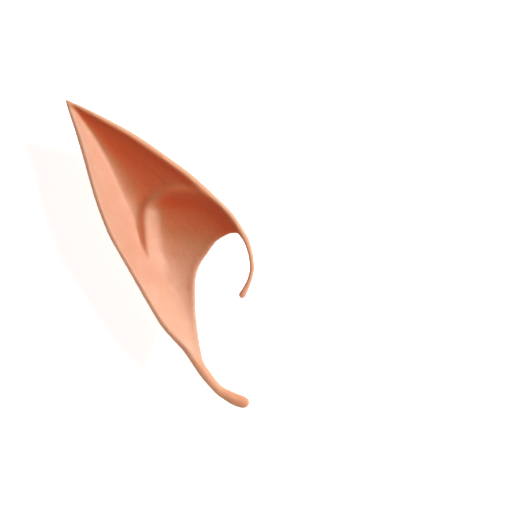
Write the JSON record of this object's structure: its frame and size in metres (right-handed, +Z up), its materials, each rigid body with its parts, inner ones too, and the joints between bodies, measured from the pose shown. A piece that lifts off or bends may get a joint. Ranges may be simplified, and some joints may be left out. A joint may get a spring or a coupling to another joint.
{
  "type": "elf ear tip",
  "caption": "Slip-on pointed elf ear of moulded latex: a hollow shell with an ear's relief, a pocket for the wearer's ear, a thin hook above the opening and a tail below it.",
  "frame": {"origin": "on the resting surface, under the middle of the bounding box, with the ear lying on its back", "axes": "+Z up and out of the ear's front, +Y along the ear to its tip, +X across it to the hook and the ear opening"},
  "size_m": [0.0708, 0.1156, 0.0294],
  "materials": {
    "latex": "satin, skin-coloured natural latex"
  },
  "bodies": {
    "root": {"ear_shell": "latex"}
  },
  "joints": []
}
